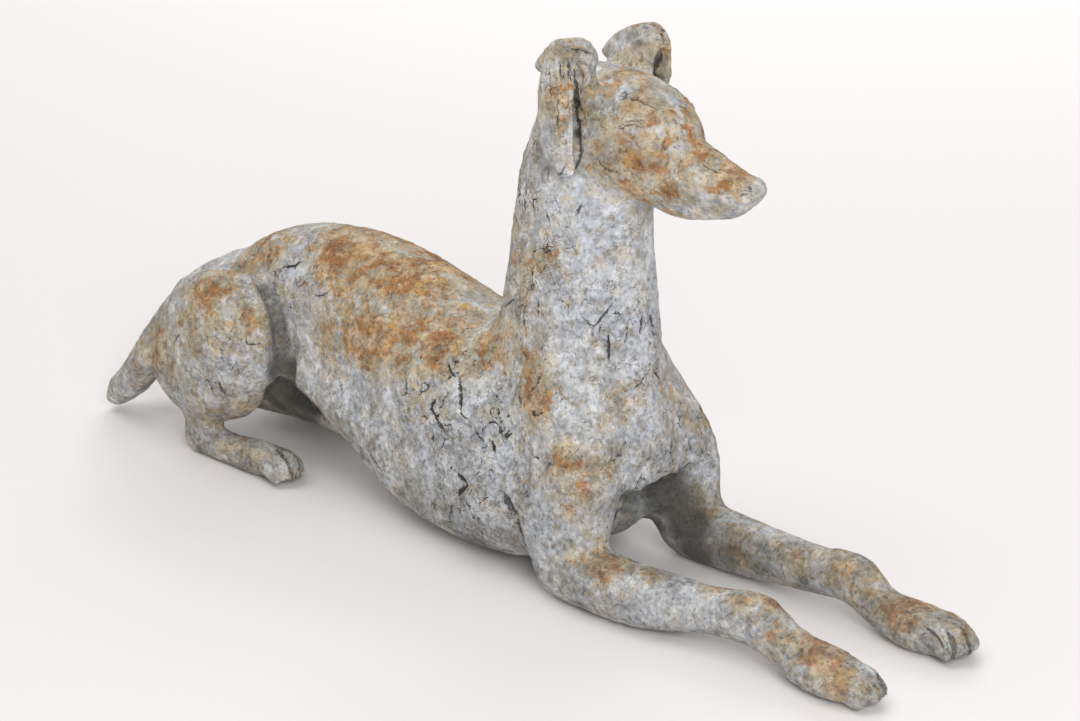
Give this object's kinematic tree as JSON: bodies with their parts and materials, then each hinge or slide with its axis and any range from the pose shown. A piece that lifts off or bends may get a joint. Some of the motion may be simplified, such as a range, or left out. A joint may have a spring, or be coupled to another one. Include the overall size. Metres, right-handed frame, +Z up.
{
  "type": "cast iron dog statue",
  "caption": "Life-size recumbent greyhound in hollow cast iron, head up and forelegs stretched out; stands as a garden or hearth ornament.",
  "frame": {"origin": "on the ground under the middle of the statue's bounding box", "axes": "+X towards the nose and forepaws, +Y towards the dog's left side, +Z up"},
  "size_m": [0.913, 0.207, 0.4622],
  "materials": {
    "painted_iron": "old blue-grey paint, cracked and flaking over brown rust, matt"
  },
  "bodies": {
    "root": {"dog": "painted_iron"}
  },
  "joints": []
}
